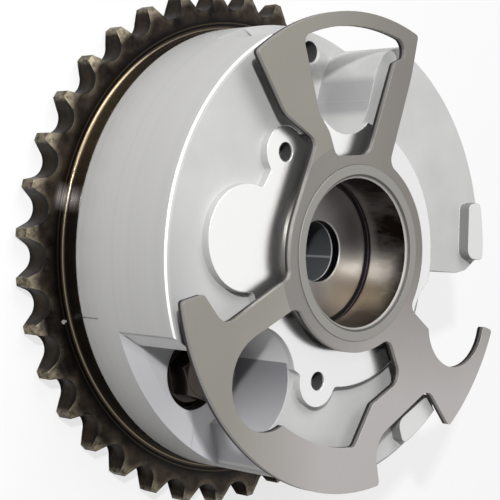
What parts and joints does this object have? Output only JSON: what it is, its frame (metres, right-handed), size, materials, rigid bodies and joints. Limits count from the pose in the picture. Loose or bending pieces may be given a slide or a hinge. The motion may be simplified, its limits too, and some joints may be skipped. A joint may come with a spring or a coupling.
{
  "type": "camshaft timing gear",
  "caption": "Chain-driven camshaft wheel with a cast vane-type phase unit, a stamped trigger plate on the front and a stepped centre bore for the camshaft bolt.",
  "frame": {"origin": "centre of the chain wheel's flat back face, on the camshaft axis", "axes": "+Z along the camshaft axis towards the trigger plate at the front; in the front view +X is right and +Y is up, as the picture shows it"},
  "size_m": [0.1112, 0.1112, 0.0411],
  "materials": {
    "wheel_steel": "oiled sintered steel",
    "cast_alloy": "as cast, turned and milled faces satin",
    "rotor_steel": "machined",
    "plate_steel": "stamped sheet, satin",
    "bolt_black": "black oxide",
    "seal_plastic": "plain",
    "spring_steel": "plain",
    "pin_steel": "ground"
  },
  "bodies": {
    "drive_side": {"sprocket": "wheel_steel", "housing": "cast_alloy", "lock_bush": "pin_steel", "housing_bolt_1": "bolt_black", "housing_bolt_2": "bolt_black", "housing_bolt_3": "bolt_black", "shoe_seal_1": "seal_plastic", "shoe_seal_2": "seal_plastic", "shoe_seal_3": "seal_plastic", "shoe_seal_spring_1": "spring_steel", "shoe_seal_spring_2": "spring_steel", "shoe_seal_spring_3": "spring_steel"},
    "rotor_side": {"rotor": "rotor_steel", "trigger_plate": "plate_steel", "lock_pin_cap": "pin_steel", "lock_pin_spring": "spring_steel", "vane_seal_1": "seal_plastic", "vane_seal_2": "seal_plastic", "vane_seal_3": "seal_plastic", "vane_seal_spring_1": "spring_steel", "vane_seal_spring_2": "spring_steel", "vane_seal_spring_3": "spring_steel"},
    "lock_pin": {"lock_pin": "pin_steel"}
  },
  "joints": [
    {"name": "phase_turn", "type": "hinge", "parent": "drive_side", "child": "rotor_side", "pos_m": [0, 0, 0], "axis": [0, 0, 1], "range_deg": [-30, 0]},
    {"name": "lock_pin_slide", "type": "slide", "parent": "rotor_side", "child": "lock_pin", "axis": [0, 0, 1], "range_m": [-0.0012, 0], "stiffness_N_per_m": 500, "springref_m": 0.004, "deforming": ["lock_pin_spring"]}
  ]
}
